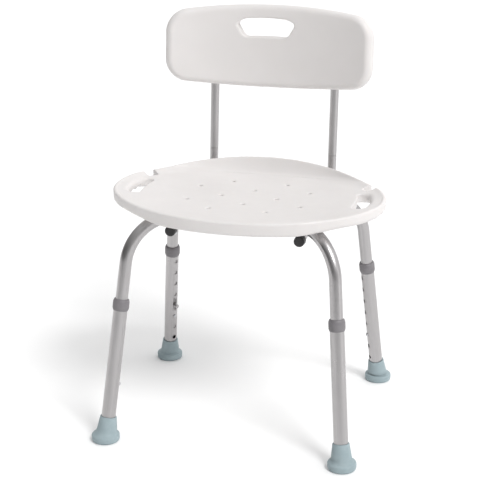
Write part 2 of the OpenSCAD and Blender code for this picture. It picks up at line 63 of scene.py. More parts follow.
seat_low, seat_high = node_box("seat_pan")
SEAT_INSET = 0.2
SEAT_A = (seat_high[0] - seat_low[0]) / 2 - SEAT_INSET
SEAT_B = (seat_high[1] - seat_low[1]) / 2 - SEAT_INSET
SEAT_Y = (seat_high[1] + seat_low[1]) / 2
SEAT_BOTTOM = seat_low[2]
SEAT_TOP = SEAT_BOTTOM + 17
SEAT_EDGE_R = 5.5
SEAT_FOOT_R = 6
SIDE_DRAFT = 0.08
DISH_R = 2400
LIP_DEPTH = 27
LIP_END_DEPTH = 6
LIP_HALF = 215
LIP_FROM_Y = 40
LIP_CREST_Z = 452.5
LIP_CREST_DROP = 4.9e-4
LIP_CREST_SLOPE = 0.12
HANDLE_RISE = 4.5
HANDLE_LIFT = 9
LIFT_FROM_X = 110
LIFT_WIDTH = 90
SLOT_IN = 193
SLOT_BOW = 8
SLOT_HALF = 45
SLOT_Y = 5
SLOT_EDGE_IN = 2.5
SLOT_EDGE_OUT = 8.5
HANDLE_W = 28
NOTCH_X = 218.5
NOTCH_Y = 79
NOTCH_AWAY = radians(39)
NOTCH_HALF = 11
NOTCH_DEPTH = 22
GRIP_PITCH = 20
GRIP_R = 10.5
GRIP_SINK = 5
TUBE_BED_LEN = 190
LAP_BED_R = 30
LAP_BED_HALF = 11.4
DRAIN_X = 51.9
DRAIN_Y = 43.65
DRAIN_R = 4
DRAIN_EDGE_R = 2.2

TIP_R = 25.5
tip_low, tip_high = node_box("rubber_tip_fr")
FOOT_X = tip_high[0] - TIP_R
FOOT_Y = -tip_low[1] - TIP_R
slide = next(j["axis"] for j in frame["joints"] if j["name"] == "leg_rr_height")
LEAN_X = -slide[0] / slide[2]
LEAN_Y = -slide[1] / slide[2]
LEAN_N = sqrt(1 + LEAN_X**2 + LEAN_Y**2)
TUBE_R = 11.1
RUN_Z = SEAT_BOTTOM - 2
corner_x = FOOT_X - LEAN_X * RUN_Z
corner_y = FOOT_Y - LEAN_Y * RUN_Z
RUN_AZ = atan2(corner_y, corner_x)
TURN = acos((LEAN_X * cos(RUN_AZ) + LEAN_Y * sin(RUN_AZ)) / LEAN_N)
BEND_R = 90
BEND_BACK = BEND_R * tan(TURN / 2)
BEND_AT = RUN_Z * LEAN_N - BEND_BACK
RUN_LEN = hypot(corner_x, corner_y) - BEND_BACK
TUBE_END = 64
TUBE_WALL = 1.6
LAP_W = 15
LAP_H = 5.4
LAP_LIFT = 5.5
LAP_FLAT = 26
LAP_EASE = 24
LEG_R = 12.7
LEG_LOW = 11
LEG_TOP = 262
LEG_BORE = TUBE_R + 0.05
LEG_EASE = 0.4
HOLE_PITCH = 25.4
HOLE_R = 4.1
BUTTON_AT = 106.4
BUTTON_HOLE = 5
HOLE_COUNT = 8
COLLAR_LOW = 243.8
COLLAR_TOP = 264.8
COLLAR_R = 14.8
TIP_BORE = 12.73
TIP_FLOOR = 9

POST_X = 116.8
POST_R = 8
POST_BORE = 5.2
BACK_TUBE_BORE = 6.55
BACK_HOLE_R = 2.7
BACK_LEAN = radians(4.8)
POST_Y = 190
POST_REF_Z = 500
POST_JOINT_Z = 457
BACK_BEND_R = 40
cap_low, cap_high = node_box("tube_cap_left")
CAP_FACE = 2.8
CAP_LEN = 17
CAP_R = 9.6
CAP_BORE = POST_R + 0.05
BACK_RUN_Z = (cap_low[2] + cap_high[2]) / 2
BACK_FRONT = cap_low[1] + CAP_FACE
PANEL_Y = 178
PANEL_Z = 663
PANEL_R = 480
PANEL_T = 26
PANEL_HALF = 201.5
PANEL_HIGH = 77
PANEL_ARCH = 17
PANEL_BOW = 11
PANEL_CORNER = 38
PANEL_EDGE_R = 11
BOSS_HALF_W = 17
BOSS_HALF_H = 52
BOSS_Z = -10
POST_TOP = 36
SPIGOT_LEN = 40
SPIGOT_R = 6.5
BACK_BUTTON_DROP = 22
HAND_X = -11
HAND_Z = 36
HAND_TOP = 16.5
HAND_LOW = 18
HAND_HALF = 55
HAND_EDGE_R = 3.5


# ---------- fields: negative inside a shape, in millimetres ----------

# Half the distance over which the slope of a field is measured.
PROBE = 0.05


def both(a, b, r):
    """What lies in both shapes, with its edge rounded to radius r."""
    return np.minimum(np.maximum(a, b), -r) + np.hypot(np.maximum(a + r, 0), np.maximum(b + r, 0))


def either(a, b, r):
    """What lies in one shape or the other, with a fillet of radius r between them."""
    return -both(-a, -b, r)


def without(a, b, r):
    """Shape a with shape b cut out of it, and the cut's edge rounded to radius r."""
    return both(a, -b, r)


def box2(x, y, half_x, half_y, r):
    return both(np.abs(x) - half_x, np.abs(y) - half_y, r)


def ellipse(x, y, a, b):
    k = np.hypot(x / a, y / b) + 1e-9
    return (k - 1) * k / np.hypot(x / a**2, y / b**2)


def skin(name, field, low, high, step):
    """A mesh of the surface where field is zero: surface nets, each point then pulled onto the surface."""
    low = np.array(low, float)
    axes = [np.arange(a, b + step, step) for a, b in zip(low, high)]
    value = field(*np.meshgrid(*axes, indexing="ij", sparse=True))
    inside = value < 0
    corners = [(i, j, k) for i in (0, 1) for j in (0, 1) for k in (0, 1)]
    cells = tuple(n - 1 for n in inside.shape)

    def shifted(array, c):
        return array[c[0]:c[0] + cells[0], c[1]:c[1] + cells[1], c[2]:c[2] + cells[2]]

    filled = sum(shifted(inside, c).astype(np.int8) for c in corners)
    active = (filled > 0) & (filled < 8)
    index = np.full(cells, -1)
    index[active] = np.arange(active.sum())
    ijk = np.argwhere(active)
    total = np.zeros(ijk.shape)
    count = np.zeros((len(ijk), 1))
    for a in corners:
        for axis in range(3):
            if a[axis]:
                continue
            b = tuple(v + (n == axis) for n, v in enumerate(a))
            va = value[tuple((ijk + a).T)]
            vb = value[tuple((ijk + b).T)]
            crossed = (va < 0) != (vb < 0)
            t = np.where(crossed, va / np.where(crossed, va - vb, 1), 0)
            point = ijk + np.array(a) + t[:, None] * (np.array(b) - np.array(a))
            total += np.where(crossed[:, None], point, 0)
            count += crossed[:, None]
    points = low + total / count * step
    for _ in range(4):
        f = field(*points.T)
        probes = np.eye(3) * PROBE
        grad = np.stack([field(*(points + d).T) - field(*(points - d).T) for d in probes], 1) / (2 * PROBE)
        move = f[:, None] * grad / np.maximum((grad**2).sum(1), 0.2)[:, None]
        points -= np.clip(move, -step / 2, step / 2)
    faces = []
    for axis in range(3):
        u, v = (axis + 1) % 3, (axis + 2) % 3
        near = np.take(inside, range(inside.shape[axis] - 1), axis)
        far = np.take(inside, range(1, inside.shape[axis]), axis)
        for flip, edges in ((False, near & ~far), (True, ~near & far)):
            at = np.argwhere(edges)
            at = at[(at[:, u] > 0) & (at[:, v] > 0) & (at[:, u] < cells[u]) & (at[:, v] < cells[v])]
            du = np.eye(3, dtype=int)[u]
            dv = np.eye(3, dtype=int)[v]
            ring = [at - du - dv, at - dv, at, at - du]
            if flip:
                ring.reverse()
            faces.append(np.stack([index[tuple(r.T)] for r in ring], 1))
    return mesh_object(name, points, np.vstack(faces).tolist())


# ---------- meshes ----------

# One turn round a tube, in the metres of its texture coordinates.
UV_GIRTH = 0.08
END_EASE = 0.4


def mesh_object(name, points, faces, uvs=None):
    mesh = bpy.data.meshes.new(name)
    mesh.from_pydata((np.array(points) * MM).tolist(), [], faces)
    if uvs is not None:
        layer = mesh.uv_layers.new(name="UVMap")
        layer.data.foreach_set("uv", np.array(uvs, np.float32).ravel())
    mesh.validate()
    mesh.polygons.foreach_set("use_smooth", [True] * len(mesh.polygons))
    obj = bpy.data.objects.new(name, mesh)
    bpy.context.scene.collection.objects.link(obj)
    return obj


def sharpen(obj, degrees):
    """Edges that turn by more than the given angle are shaded sharp."""
    bm = bmesh.new()
    bm.from_mesh(obj.data)
    for edge in bm.edges:
        if len(edge.link_faces) == 2 and edge.calc_face_angle(0) > radians(degrees):
            edge.smooth = False
    bm.to_mesh(obj.data)
    bm.free()


def loft(name, rings, closed):
    """Quads between rings of points. A closed loft joins its last ring to its first."""
    rings = np.array(rings)
    count, around = rings.shape[:2]
    lengths = np.linalg.norm(np.diff(rings.mean(1), axis=0), axis=1)
    lengths += np.abs(np.diff([np.linalg.norm(r - r.mean(0), axis=1).mean() for r in rings]))
    along = np.concatenate([[0], np.cumsum(lengths), [lengths.sum()]]) * MM
    girth = UV_GIRTH / around
    faces, uvs = [], []
    for i in range(count if closed else count - 1):
        j = (i + 1) % count
        for k in range(around):
            m = (k + 1) % around
            faces.append((i * around + k, i * around + m, j * around + m, j * around + k))
            left, right = k * girth, (k + 1) * girth
            uvs += [(left, along[i]), (right, along[i]), (right, along[i + 1]), (left, along[i + 1])]
    return mesh_object(name, rings.reshape(-1, 3), faces, uvs)


def turned(name, profile, place, around=96):
    """A closed profile of (radius, height) points, turned about the Z axis of a placing matrix."""
    angles = np.linspace(0, 2 * pi, around, endpoint=False)
    rings = [[place @ Vector((r * cos(a), r * sin(a), z)) for a in angles] for r, z in profile]
    obj = loft(name, rings, True)
    clean(obj)
    sharpen(obj, 40)
    return obj


def swept(name, path, section, wall, around=64):
    """A tube along (point, tangent, up) stations. section(i): half width, half height, exponent, lift."""
    angles = np.linspace(0, 2 * pi, around, endpoint=False)
    outer, inner = [], []
    for i, (point, tangent, up) in enumerate(path):
        side = np.cross(tangent, up)
        half_w, half_h, power, lift = section(i)
        c = np.sign(np.cos(angles)) * np.abs(np.cos(angles)) ** (2 / power)
        s = np.sign(np.sin(angles)) * np.abs(np.sin(angles)) ** (2 / power)
        centre = point + up * lift
        outer.append(centre + np.outer(c * half_w, side) + np.outer(s * half_h, up))
        inner.append(centre + np.outer(c * (half_w - wall), side) + np.outer(s * (half_h - wall), up))
    ends = []
    for i, way in ((0, 1), (len(path) - 1, -1)):
        point, tangent, up = path[i]
        middle = np.array(point) + up * section(i)[3]
        lip = middle + (outer[i] - middle) * (1 - END_EASE / np.linalg.norm(outer[i][0] - middle))
        outer[i] = outer[i] + np.array(tangent) * END_EASE * way
        ends.append(lip)
    rings = [ends[0]] + outer + [ends[1]] + inner[::-1]
    obj = loft(name, rings, True)
    clean(obj)
    sharpen(obj, 40)
    return obj


def clean(obj):
    """Joins the points that meet on an axis and turns all faces outwards."""
    bm = bmesh.new()
    bm.from_mesh(obj.data)
    bmesh.ops.remove_doubles(bm, verts=bm.verts, dist=1e-6)
    bmesh.ops.dissolve_degenerate(bm, dist=1e-7, edges=bm.edges)
    bmesh.ops.recalc_face_normals(bm, faces=bm.faces)
    bm.to_mesh(obj.data)
    bm.free()


def drill(obj, cutters):
    """Cuts the cutters out of a mesh and removes them."""
    for cutter in cutters:
        tool = obj.modifiers.new("cut", "BOOLEAN")
        tool.operation = "DIFFERENCE"
        tool.solver = "EXACT"
        tool.object = cutter
    graph = bpy.context.evaluated_depsgraph_get()
    mesh = bpy.data.meshes.new_from_object(obj.evaluated_get(graph))
    obj.modifiers.clear()
    old = obj.data
    obj.data = mesh
    bpy.data.meshes.remove(old)
    for cutter in cutters:
        bpy.data.objects.remove(cutter)
    sharpen(obj, 30)


def rod(place, radius, length):
    profile = [(0, 0), (radius, 0), (radius, length), (0, length)]
    return turned("rod", profile, place, 32)


# ---------- placing ----------

def leg_place(corner):
    """A leg's own frame: Z up the leg, X towards the middle of the chair."""
    sx, sy = corner
    az = atan2(-sy * LEAN_Y, -sx * LEAN_X)
    tilt = acos(1 / LEAN_N)
    side = Vector((cos(tilt) * cos(az), cos(tilt) * sin(az), -sin(tilt)))
    cross = Vector((-sin(az), cos(az), 0))
    inward = Vector((-sx * cos(RUN_AZ), -sy * sin(RUN_AZ), 0))
    roll = atan2(inward.dot(cross), inward.dot(side))
    return (Matrix.Translation((sx * FOOT_X, sy * FOOT_Y, 0)) @ Matrix.Rotation(az, 4, "Z")
            @ Matrix.Rotation(tilt, 4, "Y") @ Matrix.Rotation(roll, 4, "Z"))


def post_place(side, z):
    """A back post's own frame at a height: Z up the post, Y to the rear."""
    y = POST_Y + tan(BACK_LEAN) * (z - POST_REF_Z)
    return Matrix.Translation((side * POST_X, y, z)) @ Matrix.Rotation(-BACK_LEAN, 4, "X")


panel_place = Matrix.Translation((0, PANEL_Y, PANEL_Z)) @ Matrix.Rotation(-BACK_LEAN, 4, "X")
PANEL_POST_Y = (POST_Y + tan(BACK_LEAN) * (PANEL_Z - POST_REF_Z) - PANEL_Y) * cos(BACK_LEAN)


def show(piece, body, slot, material, *nodes):
    piece.data.materials.clear()
    piece.data.materials.append(material)
    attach(piece, body)
    if nodes:
        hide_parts(*nodes)


# ---------- materials ----------

def new_material(name):
    material = bpy.data.materials.new(name)
    material.use_nodes = True
    return material, material.node_tree, material.node_tree.nodes["Principled BSDF"]


def noise(tree, scale, detail, stretch=(1, 1, 1), coords="Object"):
    where = tree.nodes.new("ShaderNodeTexCoord")
    mapping = tree.nodes.new("ShaderNodeMapping")
    mapping.inputs["Scale"].default_value = stretch
    texture = tree.nodes.new("ShaderNodeTexNoise")
    texture.inputs["Scale"].default_value = scale
    texture.inputs["Detail"].default_value = detail
    tree.links.new(where.outputs[coords], mapping.inputs["Vector"])
    tree.links.new(mapping.outputs["Vector"], texture.inputs["Vector"])
    return texture.outputs["Fac"]


def ramp(tree, value, stops):
    """A colour ramp from (position, grey or rgb) stops."""
    node = tree.nodes.new("ShaderNodeValToRGB")
    for n, (at, colour) in enumerate(stops):
        stop = node.color_ramp.elements[n] if n < 2 else node.color_ramp.elements.new(at)
        stop.position = at
        rgb = colour if isinstance(colour, tuple) else (colour,) * 3
        stop.color = (*rgb, 1)
    tree.links.new(value, node.inputs["Fac"])
    return node.outputs["Color"]


def bumps(tree, shader, layers):
    """Stacks (height, strength, distance) layers of bump onto a shader."""
    previous = None
    for height, strength, distance in layers:
        node = tree.nodes.new("ShaderNodeBump")
        node.inputs["Strength"].default_value = strength
        node.inputs["Distance"].default_value = distance
        tree.links.new(height, node.inputs["Height"])
        if previous:
            tree.links.new(previous, node.inputs["Normal"])
        previous = node.outputs["Normal"]
    tree.links.new(previous, shader.inputs["Normal"])


def roughen(tree, shader, scale, detail, smooth_at, rough_at):
    """Lets the roughness wander between two values."""
    wander = ramp(tree, noise(tree, scale, detail), [(0.3, smooth_at), (0.7, rough_at)])
    tree.links.new(wander, shader.inputs["Roughness"])


def paint(tree, shader, texture, dark, light):
    """Lets the base colour wander between two colours."""
    tree.links.new(ramp(tree, texture, [(0.3, dark), (0.7, light)]), shader.inputs["Base Color"])


def moulded_plastic():
    """Blow-moulded polyethylene: off-white, slightly waxy, with a fine pebble and slow ripples."""
    material, tree, shader = new_material("moulded_polyethylene")
    paint(tree, shader, noise(tree, 9, 4), (0.715, 0.69, 0.68), (0.75, 0.725, 0.715))
    roughen(tree, shader, 60, 5, 0.38, 0.5)
    shader.inputs["Subsurface Weight"].default_value = 0.08
    shader.inputs["Subsurface Radius"].default_value = (0.004, 0.0035, 0.003)
    shader.inputs["Subsurface Scale"].default_value = 1
    bumps(tree, shader, [(noise(tree, 14, 2), 0.15, 0.002), (noise(tree, 1400, 2), 0.12, 0.0002)])
    return material


def drawn_aluminium():
    """Satin anodised tube with faint lines along its length."""
    material, tree, shader = new_material("anodised_aluminium")
    lines = noise(tree, 1, 4, (2600, 9, 1), "UV")
    paint(tree, shader, lines, (0.42, 0.41, 0.41), (0.5, 0.485, 0.49))
    shader.inputs["Metallic"].default_value = 1
    roughen(tree, shader, 30, 3, 0.27, 0.35)
    bumps(tree, shader, [(lines, 0.05, 0.0003)])
    return material


def grey_rubber():
    """Blue-grey rubber, slightly mottled and matt."""
    material, tree, shader = new_material("grey_rubber")
    paint(tree, shader, noise(tree, 45, 5), (0.285, 0.36, 0.385), (0.345, 0.425, 0.45))
    roughen(tree, shader, 300, 3, 0.5, 0.68)
    bumps(tree, shader, [(noise(tree, 900, 3), 0.2, 0.0003)])
    return material


def plain_plastic(name, dark, light, rough):
    material, tree, shader = new_material(name)
    paint(tree, shader, noise(tree, 80, 4), dark, light)
    roughen(tree, shader, 400, 3, rough - 0.06, rough + 0.08)
    bumps(tree, shader, [(noise(tree, 1500, 2), 0.15, 0.0002)])
    return material


def plated_metal(name, dark, light, rough):
    material, tree, shader = new_material(name)
    paint(tree, shader, noise(tree, 200, 5), dark, light)
    shader.inputs["Metallic"].default_value = 1
    roughen(tree, shader, 700, 3, rough - 0.08, rough + 0.08)
    bumps(tree, shader, [(noise(tree, 2500, 2), 0.08, 0.0001)])
    return material


def studio_floor():
    material, tree, shader = new_material("studio_floor")
    paint(tree, shader, noise(tree, 3, 3), 0.96, 0.98)
    shader.inputs["Roughness"].default_value = 0.9
    shader.inputs["Specular IOR Level"].default_value = 0.1
    return material


PLASTIC = moulded_plastic()
ALUMINIUM = drawn_aluminium()
RUBBER = grey_rubber()
COLLAR = plain_plastic("collar_plastic", (0.18, 0.17, 0.18), (0.215, 0.205, 0.215), 0.5)
VINYL = plain_plastic("black_vinyl", (0.012, 0.011, 0.012), (0.022, 0.02, 0.021), 0.45)
STEEL = plated_metal("plated_steel", (0.5, 0.5, 0.52), (0.62, 0.62, 0.63), 0.3)
SPRING = plated_metal("spring_steel", (0.35, 0.35, 0.36), (0.45, 0.45, 0.46), 0.25)
BRASS = plated_metal("brass", (0.5, 0.36, 0.14), (0.62, 0.46, 0.2), 0.3)


# ---------- seat ----------

def seat_shell(x, y, z):
    """The oval pan: dished, with a raised lip along its rear rim and handles that rise a little."""
    y0 = y - SEAT_Y
    rim = ellipse(x, y0, SEAT_A, SEAT_B)
    dish = SEAT_TOP + (x**2 + y**2) / (2 * DISH_R)
    over_rear = np.clip((y + 10) / 60, 0, 1)
    side = HANDLE_RISE * over_rear * np.clip((rim + 30) / 24, 0, 1) ** 2
    crest = LIP_CREST_Z - LIP_CREST_DROP * x**2 + LIP_CREST_SLOPE * (rim + 3)
    depth = np.clip(LIP_DEPTH * (1 - (np.abs(x) / LIP_HALF) ** 2), LIP_END_DEPTH, None)
    climb = np.clip((rim + depth) / (depth - 3), 0, 1)
    lip = (crest - dish) * climb**1.5 * (y > LIP_FROM_Y) - 3 * (climb <= 0)
    level = either(z - dish - side, z - dish - lip, 4)
    lean_in = np.clip((SEAT_TOP - z) * SIDE_DRAFT, 0, 2)
    return both(both(rim + lean_in, level, SEAT_EDGE_R), seat_bottom(x) - z, SEAT_FOOT_R)


def seat_bottom(x):
    """The height of the seat's underside, which rises towards the handles."""
    under = np.clip((np.abs(x) - LIFT_FROM_X) / LIFT_WIDTH, 0, 1)
    return SEAT_BOTTOM + HANDLE_LIFT * under * under * (3 - 2 * under)


def handle_slot(x, y0):
    outer = ellipse(x, y0, SEAT_A - HANDLE_W, SEAT_B - HANDLE_W / 2)
    bow = SLOT_BOW * np.clip(1 - (y0 / 60) ** 2, 0, 1)
    inner = SLOT_IN - SLOT_BOW / 2 + bow - np.abs(x)
    return both(both(outer, inner, 2), np.abs(y0 - SLOT_Y) - SLOT_HALF, 9)


def hose_notch(x, y):
    """A slot that opens out through the rim, roughly square to it."""
    nx = np.abs(x) - NOTCH_X
    ny = y - NOTCH_Y
    out = nx * cos(NOTCH_AWAY) + ny * sin(NOTCH_AWAY) - 10
    across = ny * cos(NOTCH_AWAY) - nx * sin(NOTCH_AWAY)
    return box2(out, across, 10 + NOTCH_DEPTH, NOTCH_HALF, 4)


def finger_grips(x, y0, z):
    """Four grooves under each handle bar."""
    along = y0 - SLOT_Y
    groove = GRIP_PITCH * (np.clip(np.round(along / GRIP_PITCH - 0.5), -2, 1) + 0.5)
    grip = np.hypot(along - groove, z - seat_bottom(x) + GRIP_SINK) - GRIP_R
    return both(grip, SEAT_A - HANDLE_W - 12 - np.abs(x), 3)


def drain_holes(x, y):
    """Twelve holes, in rows of two and of three by turns."""
    row = np.round(y / DRAIN_Y)
    odd = row % 2
    col = np.where(odd == 1, np.round(x / (2 * DRAIN_X)) * 2, np.round((x / DRAIN_X - 1) / 2) * 2 + 1)
    hole = np.hypot(x - col * DRAIN_X, y - row * DRAIN_Y) - DRAIN_R
    used = (np.abs(row) <= 2) & (np.abs(col) <= np.where(odd == 1, 2, 1))
    return np.where(used, hole, 50)


def seat_field(x, y, z):
    y0 = y - SEAT_Y
    body = seat_shell(x, y, z)
    slot_edge = np.clip((np.abs(x) - 200) / 12, 0, 1)
    body = without(body, handle_slot(x, y0), SLOT_EDGE_IN + (SLOT_EDGE_OUT - SLOT_EDGE_IN) * slot_edge)
    body = without(body, hose_notch(x, y), 1.2)
    body = without(body, finger_grips(x, y0, z), 3)
    body = without(body, drain_holes(x, y), DRAIN_EDGE_R)
    for az in (RUN_AZ, -RUN_AZ):
        across = y * cos(az) - x * sin(az)
        along = np.abs(x * cos(az) + y * sin(az)) - TUBE_BED_LEN
        body = without(body, both(np.hypot(across, z - RUN_Z) - TUBE_R - 0.4, along, 1), 1.2)
    return without(body, box2(np.hypot(x, y), z - RUN_Z, LAP_BED_R, LAP_BED_HALF, 1), 1)


def build_seat():
    step = 1.7
    seat = skin("seat", seat_field, seat_low - 3, seat_high + 3, step)
    show(seat, "frame", "shell", PLASTIC, "seat_pan")


# ---------- backrest ----------

def hand_hole(x, h):
    """A hole with arched long edges whose ends widen upwards and are cut back at the top."""
    top = h - (HAND_Z + HAND_TOP - 2.5 * (x / 47) ** 2)
    low = (HAND_Z - HAND_LOW - 1.5 * (x / 42) ** 2) - h
    lower_side = (np.abs(x) - HAND_HALF) * 0.861 - (h - HAND_Z - 4) * 0.508
    upper_side = (np.abs(x) - HAND_HALF + 0.5) * 0.66 + (h - HAND_Z - 7) * 0.75
    sides = both(lower_side, upper_side, 6)
    return both(both(top, low, 3), sides, 7)


def panel_field(x, y, z):
    """The curved panel, upright in its own frame, with a boss behind it round each post."""
    s = PANEL_R * np.arctan2(x, y + PANEL_R)
    r = np.hypot(x, y + PANEL_R) - PANEL_R
    q = (s / PANEL_HALF) ** 2
    high = PANEL_HIGH - PANEL_ARCH * q
    low = -PANEL_HIGH + PANEL_BOW * q
    outline = both(np.abs(s) - PANEL_HALF, np.abs(z - (high + low) / 2) - (high - low) / 2, PANEL_CORNER)
    panel = both(outline, np.abs(r) - PANEL_T / 2, PANEL_EDGE_R)
    boss = box2(np.abs(x) - POST_X, z - BOSS_Z, BOSS_HALF_W, BOSS_HALF_H, 7)
    boss = both(boss, np.abs(y - PANEL_POST_Y / 2) - PANEL_POST_Y / 2 + 1, 4)
    body = either(panel, boss, 6)
    body = without(body, hand_hole(x - HAND_X, z), HAND_EDGE_R)
    post = np.hypot(np.abs(x) - POST_X, y - PANEL_POST_Y) - POST_R - 0.15
    post = both(post, z - POST_TOP - 2.8, 0.5)
    return without(body, post, 1)


def build_backrest():
    step = 1.6
    panel = skin("backrest", panel_field, (-201, -66, -82), (201, 42, 82), step)
    panel.data.transform(Matrix.Scale(MM, 4) @ panel_place @ Matrix.Scale(1 / MM, 4))
    show(panel, "frame", "shell", PLASTIC, "backrest_panel")


# ---------- frame tubes ----------

def half_run(corner):
    """Points and tangents from the middle of the chair out along the run, round the bend and down the leg."""
    place = leg_place(corner)
    rot = place.to_3x3()
    out = np.array((corner[0] * cos(RUN_AZ), corner[1] * sin(RUN_AZ), 0))
    run = [(out * s + (0, 0, RUN_Z), out) for s in np.linspace(0, RUN_LEN, 50, endpoint=False)]
    bend, leg = [], []
    for a in np.linspace(TURN, 0, 40):
        local = Vector((BEND_R * (1 - cos(a)), 0, BEND_AT + BEND_R * sin(a)))
        bend.append((np.array(place @ local), -np.array(rot @ Vector((sin(a), 0, cos(a))))))
    for t in np.linspace(BEND_AT, TUBE_END, 12)[1:]:
        leg.append((np.array(place @ Vector((0, 0, t))), -np.array(rot @ Vector((0, 0, 1)))))
    return run + bend + leg


def with_ups(points, up):
    """Carries an up direction along a path without twist."""
    out = []
    for point, tangent in points:
        tangent = np.array(tangent) / np.linalg.norm(tangent)
        up = up - tangent * np.dot(up, tangent)
        up = up / np.linalg.norm(up)
        out.append((np.array(point), tangent, up))
    return out


def smooth(t):
    t = min(max(t, 0), 1)
    return t * t * (3 - 2 * t)


def build_cross_tube(name, first, second, lift):
    """One tube from leg to leg, pressed flat in the middle where it laps the other."""
    near = with_ups(half_run(first), np.array((0, 0, 1.0)))
    far = with_ups(half_run(second), np.array((0, 0, 1.0)))
    path = [(p, -t, u) for p, t, u in near[:0:-1]] + far

    def section(i):
        x, y, z = path[i][0]
        full = smooth((hypot(x, y) - LAP_FLAT) / LAP_EASE) if z > RUN_Z - 1 else 1
        half_w = LAP_W + (TUBE_R - LAP_W) * full
        half_h = LAP_H + (TUBE_R - LAP_H) * full
        return (half_w, half_h, 4 - 2 * full, lift * (1 - full))

    tube = swept(name, path, section, TUBE_WALL)
    cutters = []
    for corner in (first, second):
        place = leg_place(corner) @ Matrix.Translation((0, 0, BUTTON_AT)) @ Matrix.Rotation(pi / 2, 4, "Y")
        cutters.append(rod(place, HOLE_R, 20))
    drill(tube, cutters)
    show(tube, "frame", "tube", ALUMINIUM, name.replace("tube_piece", "cross_tube"))


def round_post(i):
    return (POST_R, POST_R, 2, 0)


def back_button_hole(side):
    """The cutter for the hole of a back button, pointing to the rear."""
    button = post_place(side, POST_JOINT_Z) @ Matrix.Translation((0, 0, -BACK_BUTTON_DROP))
    return rod(button @ Matrix.Rotation(-pi / 2, 4, "X"), BACK_HOLE_R, 20)


def build_back_tube(name, side):
    """From its front end under the seat to the rear, round a bend and up to the joint with the post."""
    end_z = BACK_RUN_Z + BACK_BEND_R * (1 - sin(BACK_LEAN))
    bend_y = POST_Y + tan(BACK_LEAN) * (end_z - POST_REF_Z) - BACK_BEND_R * cos(BACK_LEAN)
    points = []
    for y in np.linspace(BACK_FRONT, bend_y, 12, endpoint=False):
        points.append(((side * POST_X, y, BACK_RUN_Z), (0, 1, 0)))
    for a in np.linspace(0, pi / 2 - BACK_LEAN, 30):
        y = bend_y + BACK_BEND_R * sin(a)
        z = BACK_RUN_Z + BACK_BEND_R * (1 - cos(a))
        points.append(((side * POST_X, y, z), (0, cos(a), sin(a))))
    top = post_place(side, POST_JOINT_Z).translation
    points.append((np.array(top), (0, sin(BACK_LEAN), cos(BACK_LEAN))))
    path = with_ups(points, np.array((0, 0, 1.0)))
    tube = swept(f"lower_back_tube_{name}", path, round_post, POST_R - BACK_TUBE_BORE)
    drill(tube, [back_button_hole(side)])
    show(tube, "frame", "tube", ALUMINIUM, f"back_tube_{name}")


def build_post(name, side):
    low = post_place(side, POST_JOINT_Z)
    length = (PANEL_Z - POST_JOINT_Z) / cos(BACK_LEAN) - PANEL_POST_Y * tan(BACK_LEAN) + POST_TOP
    along = np.array((0, sin(BACK_LEAN), cos(BACK_LEAN)))
    up = np.array((0, -cos(BACK_LEAN), sin(BACK_LEAN)))
    stations = np.linspace(0.5, length - 0.4, 14)
    path = [(np.array(low @ Vector((0, 0, t))), along, up) for t in stations]
    post = swept(f"upper_post_{name}", path, round_post, POST_R - POST_BORE)
    show(post, "frame", "tube", ALUMINIUM, f"back_post_{name}")
    profile = [(POST_BORE, -SPIGOT_LEN), (SPIGOT_R - 0.5, -SPIGOT_LEN), (SPIGOT_R, 1 - SPIGOT_LEN),
               (SPIGOT_R, 1), (POST_BORE, 1)]
    spigot = turned(f"post_spigot_{name}", profile, low, 48)
    drill(spigot, [back_button_hole(side)])
    show(spigot, "frame", "tube", ALUMINIUM)


def build_cap(name, side):
    """A cup with a rounded front edge that fits over the front end of a back tube."""
    face = Matrix.Translation((side * POST_X, BACK_FRONT - CAP_FACE, BACK_RUN_Z))
    place = face @ Matrix.Rotation(-pi / 2, 4, "X")
    profile = [(0, 0), (4, 0), (CAP_R - 2, 0.15), (CAP_R - 0.8, 0.6), (CAP_R - 0.2, 1.5), (CAP_R, CAP_FACE),
               (CAP_R, CAP_LEN - 2.4), (CAP_R, CAP_LEN - 1), (CAP_R - 0.3, CAP_LEN - 0.2),
               (CAP_R - 0.9, CAP_LEN), (CAP_BORE, CAP_LEN - 0.4), (CAP_BORE, CAP_FACE), (0, CAP_FACE)]
    cap = turned(f"end_cap_{name}", profile, place)
    show(cap, "frame", "cap", VINYL, f"tube_cap_{name}")


# ---------- legs ----------

def build_leg(key):
    """A tube with eased ends and a row of adjustment holes on the side that faces the chair's middle."""
    place = leg_place(CORNERS[key])
    between = (70, 130, 190)
    profile = [(LEG_BORE, LEG_LOW), (LEG_R - LEG_EASE, LEG_LOW), (LEG_R, LEG_LOW + LEG_EASE)]
    profile += [(LEG_R, z) for z in between]
    profile += [(LEG_R, LEG_TOP - LEG_EASE), (LEG_R - LEG_EASE, LEG_TOP), (LEG_BORE, LEG_TOP)]
    profile += [(LEG_BORE, z) for z in reversed(between)]
    tube = turned(f"sliding_leg_{key}", profile, place)
    cutters = []
    for i in range(HOLE_COUNT):
        hole = place @ Matrix.Translation((0, 0, BUTTON_AT + (BUTTON_HOLE - i) * HOLE_PITCH))
        cutters.append(rod(hole @ Matrix.Rotation(pi / 2, 4, "Y"), HOLE_R, 20))
    drill(tube, cutters)
    show(tube, f"leg_{key}", "tube", ALUMINIUM, f"leg_tube_{key}")


